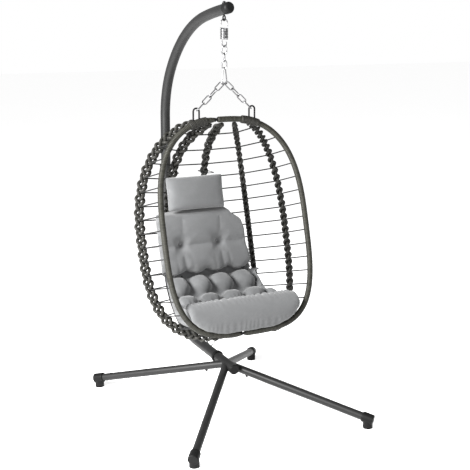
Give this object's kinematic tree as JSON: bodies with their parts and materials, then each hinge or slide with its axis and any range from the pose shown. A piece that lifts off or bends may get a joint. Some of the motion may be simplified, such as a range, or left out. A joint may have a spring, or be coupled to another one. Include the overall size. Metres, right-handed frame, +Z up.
{
  "type": "hanging egg chair",
  "caption": "Garden swing chair: an egg-shaped wicker basket with a tufted cushion hangs by a spring and chains from a curved steel pole on a splayed-leg base.",
  "frame": {"origin": "on the floor, under the middle of the whole chair's bounding box", "axes": "+Z up, +X to the right of someone facing the chair's mouth, -Y the way the sitter faces, +Y towards the pole"},
  "size_m": [0.9752, 1.3026, 1.9579],
  "materials": {
    "frame_coat": "satin dark grey powder coat",
    "black_plastic": "moulded black plastic",
    "black_fasteners": "blackened steel",
    "zinc_steel": "zinc plated",
    "black_coat": "satin black paint",
    "rod_coat": "dark grey paint",
    "wicker": "woven olive-grey synthetic rattan",
    "cushion_fabric": "mid grey woven polyester",
    "loop_cord": "black elastic cord"
  },
  "bodies": {
    "stand": {"base_hub": "frame_coat", "hub_end_plug": "black_plastic", "leg_front_left": "frame_coat", "leg_front_right": "frame_coat", "leg_rear_left": "frame_coat", "leg_rear_right": "frame_coat", "foot_cap_front_left": "black_plastic", "foot_cap_front_right": "black_plastic", "foot_cap_rear_left": "black_plastic", "foot_cap_rear_right": "black_plastic", "leg_bolts": "black_fasteners", "leg_nuts": "black_fasteners", "pole_collar": "black_plastic", "lower_pole": "frame_coat", "upper_pole": "frame_coat", "pole_bolts": "black_fasteners", "pole_nuts": "black_fasteners", "pole_end_cap": "black_plastic", "eye_bolt": "black_fasteners", "eye_bolt_nut": "black_fasteners", "eye_bolt_saddle": "black_fasteners"},
    "spring_top": {"spring_hook_upper": "zinc_steel", "spring": "zinc_steel"},
    "lower_hook": {"spring_hook_lower": "zinc_steel"},
    "link": {"chain_link_1": "zinc_steel"},
    "hanger": {"chain_link_2": "zinc_steel", "chain_link_3": "zinc_steel", "pear_link": "zinc_steel", "chain_left": "zinc_steel", "chain_right": "zinc_steel"},
    "basket": {"ring_left": "black_coat", "ring_right": "black_coat", "ring_binding_left": "wicker", "ring_binding_right": "wicker", "rim_tube_left": "black_coat", "rim_tube_right": "black_coat", "rim_wrap_left": "wicker", "rim_wrap_right": "wicker", "rim_pin_top": "black_coat", "rim_pin_bottom": "black_coat", "cross_rods": "rod_coat", "rib_outer_left": "wicker", "rib_outer_right": "wicker", "rib_mid_left": "wicker", "rib_mid_right": "wicker", "rib_centre": "wicker", "bottom_hook": "black_coat", "back_cushion": "cushion_fabric", "seat_cushion": "cushion_fabric", "headrest_pillow": "cushion_fabric", "pillow_loops": "loop_cord"}
  },
  "joints": [
    {"name": "swing_fore_aft", "type": "hinge", "parent": "stand", "child": "spring_top", "pos_m": [0, -0.03848, 1.877], "axis": [1, 0, 0], "range_deg": [-18, 8]},
    {"name": "spring_bounce", "type": "slide", "parent": "spring_top", "child": "lower_hook", "axis": [0, 0, -1], "range_m": [0, 0.045], "stiffness_N_per_m": 29000, "springref_m": -0.0074, "deforming": ["spring"]},
    {"name": "sway_sideways", "type": "hinge", "parent": "lower_hook", "child": "link", "pos_m": [0, -0.03848, 1.7537], "axis": [0, 1, 0], "range_deg": [-10, 10]},
    {"name": "swivel", "type": "hinge", "parent": "link", "child": "hanger", "pos_m": [0, -0.03848, 1.72], "axis": [0, 0, 1], "range_deg": [-30, 30]},
    {"name": "basket_tilt", "type": "hinge", "parent": "hanger", "child": "basket", "pos_m": [0, -0.03848, 1.474], "axis": [1, 0, 0], "range_deg": [-5, 5]}
  ]
}
